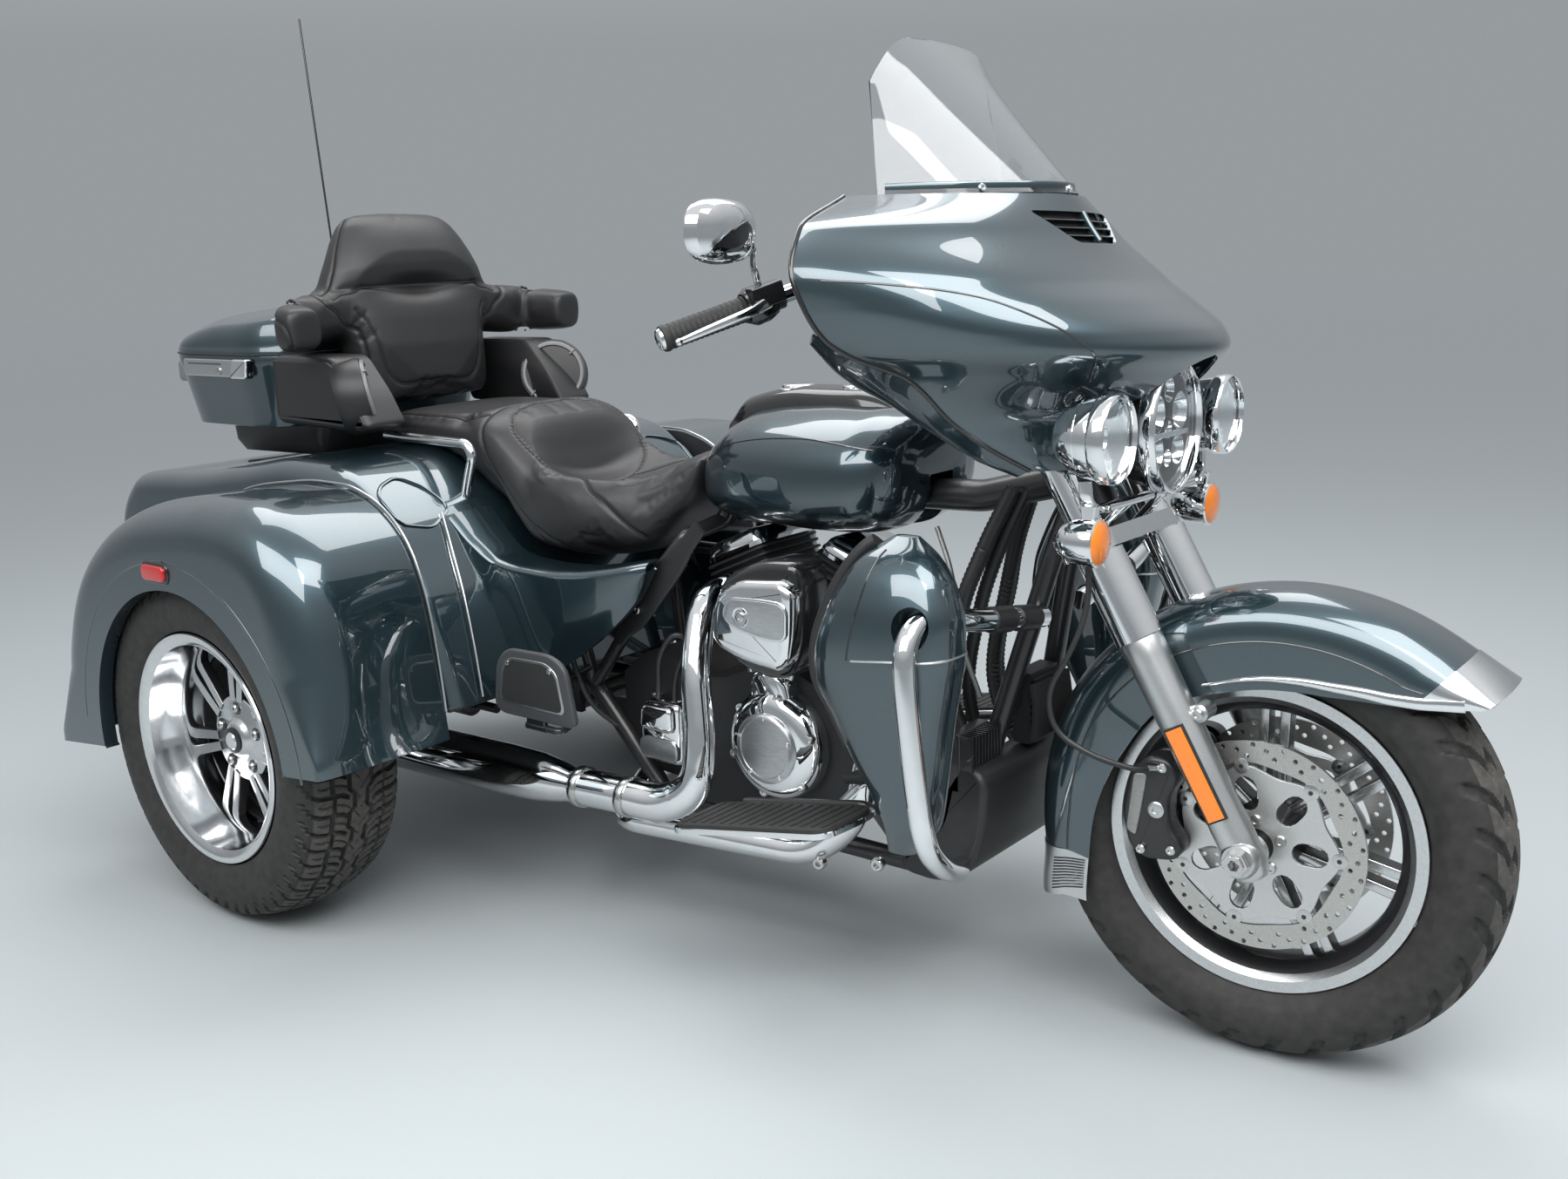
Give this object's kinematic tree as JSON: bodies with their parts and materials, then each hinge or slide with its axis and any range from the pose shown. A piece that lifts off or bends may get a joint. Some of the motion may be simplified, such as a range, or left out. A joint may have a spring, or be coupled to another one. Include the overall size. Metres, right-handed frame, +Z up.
{
  "type": "three-wheeled touring motorcycle",
  "caption": "Touring trike with a steered front wheel, fork-mounted fairing, V engine and a wide luggage body over two rear wheels.",
  "frame": {"origin": "on the ground under the middle of the machine's box", "axes": "+X forwards, +Y to the rider's left, +Z up"},
  "size_m": [2.7187, 1.38, 1.6902],
  "materials": {
    "paint": "metallic gloss",
    "black_metal": "satin",
    "engine_black": "satin",
    "chrome": "polished",
    "alloy": "satin",
    "steel": "satin",
    "tyre": "matte",
    "rubber": "matte",
    "leather": "satin",
    "black_plastic": "matte",
    "red_lens": "gloss",
    "amber_lens": "gloss",
    "clear": "clear",
    "mirror_shell": "polished"
  },
  "bodies": {
    "chassis": {"frame": "black_metal", "rear_axle": "black_metal", "rear_shocks": "steel", "final_drive": "rubber", "engine_case": "engine_black", "cylinders": "engine_black", "rocker_covers": "chrome", "air_cleaner": "chrome", "engine_covers": "chrome", "primary_cover": "chrome", "exhaust_right": "chrome", "exhaust_left": "chrome", "fuel_tank": "paint", "tank_console": "chrome", "rear_body": "paint", "rear_fenders": "paint", "case_base": "paint", "speaker_pods": "leather", "case_lamps": "red_lens", "tail_lamps": "red_lens", "aerial": "black_metal", "seat": "leather", "grab_rails": "chrome", "side_covers": "paint", "leg_shields": "paint", "engine_guards": "chrome", "oil_cooler": "alloy", "chin_guard": "black_plastic", "board_brackets": "black_metal"},
    "steering": {"fork_sliders": "alloy", "fork_upper": "chrome", "brake_calipers": "black_metal", "front_axle": "steel", "front_fender": "paint", "headlamp": "chrome", "passing_lamps": "chrome", "signal_lamps": "amber_lens", "lamp_bar": "chrome", "fairing_shell": "paint", "dash": "black_plastic", "windshield": "clear", "handlebar": "chrome", "grips": "rubber", "hand_controls": "chrome", "mirrors": "mirror_shell"},
    "front_wheel": {"front_tyre": "tyre", "front_rim": "alloy", "front_discs": "steel"},
    "rear_wheel_right": {"rear_tyre_right": "tyre", "rear_rim_right": "alloy"},
    "rear_wheel_left": {"rear_tyre_left": "tyre", "rear_rim_left": "alloy"},
    "lid": {"case_lid": "paint", "backrest": "leather"},
    "trunk_hatch": {"trunk_door": "paint"},
    "board_right": {"footboard_right": "alloy"},
    "board_left": {"footboard_left": "alloy"},
    "passenger_right": {"passenger_board_right": "alloy"},
    "passenger_left": {"passenger_board_left": "alloy"}
  },
  "joints": [
    {"name": "steer", "type": "hinge", "parent": "chassis", "child": "steering", "pos_m": [1.138, 0, 0], "axis": [-0.4384, 0, 0.8988], "range_deg": [-34.3, 25.7]},
    {"name": "front_wheel_spin", "type": "hinge", "parent": "steering", "child": "front_wheel", "pos_m": [1.03787, 0.00384, 0.32194], "axis": [-0.0674, 0.9972, -0.0329], "continuous": true},
    {"name": "rear_wheel_right_spin", "type": "hinge", "parent": "chassis", "child": "rear_wheel_right", "pos_m": [-0.632, -0.5625, 0.322], "axis": [0, 1, 0], "continuous": true},
    {"name": "rear_wheel_left_spin", "type": "hinge", "parent": "chassis", "child": "rear_wheel_left", "pos_m": [-0.632, 0.5625, 0.322], "axis": [0, 1, 0], "continuous": true},
    {"name": "lid_hinge", "type": "hinge", "parent": "chassis", "child": "lid", "pos_m": [-1.068, 0.296, 0.975], "axis": [-1, 0, 0], "range_deg": [0, 75]},
    {"name": "trunk_hinge", "type": "hinge", "parent": "chassis", "child": "trunk_hatch", "pos_m": [-1.288, 0, 0.424], "axis": [0, -1, 0], "range_deg": [0, 90]},
    {"name": "board_right_fold", "type": "hinge", "parent": "chassis", "child": "board_right", "pos_m": [0.413, -0.2775, 0.316], "axis": [-0.9829, 0, -0.184], "range_deg": [0, 30]},
    {"name": "board_left_fold", "type": "hinge", "parent": "chassis", "child": "board_left", "pos_m": [0.413, 0.2775, 0.316], "axis": [0.9829, 0, 0.184], "range_deg": [0, 30]},
    {"name": "passenger_right_fold", "type": "hinge", "parent": "chassis", "child": "passenger_right", "pos_m": [-0.118, -0.334, 0.366], "axis": [1, 0, 0], "range_deg": [0, 85]},
    {"name": "passenger_left_fold", "type": "hinge", "parent": "chassis", "child": "passenger_left", "pos_m": [-0.118, 0.334, 0.366], "axis": [-1, 0, 0], "range_deg": [0, 85]}
  ]
}
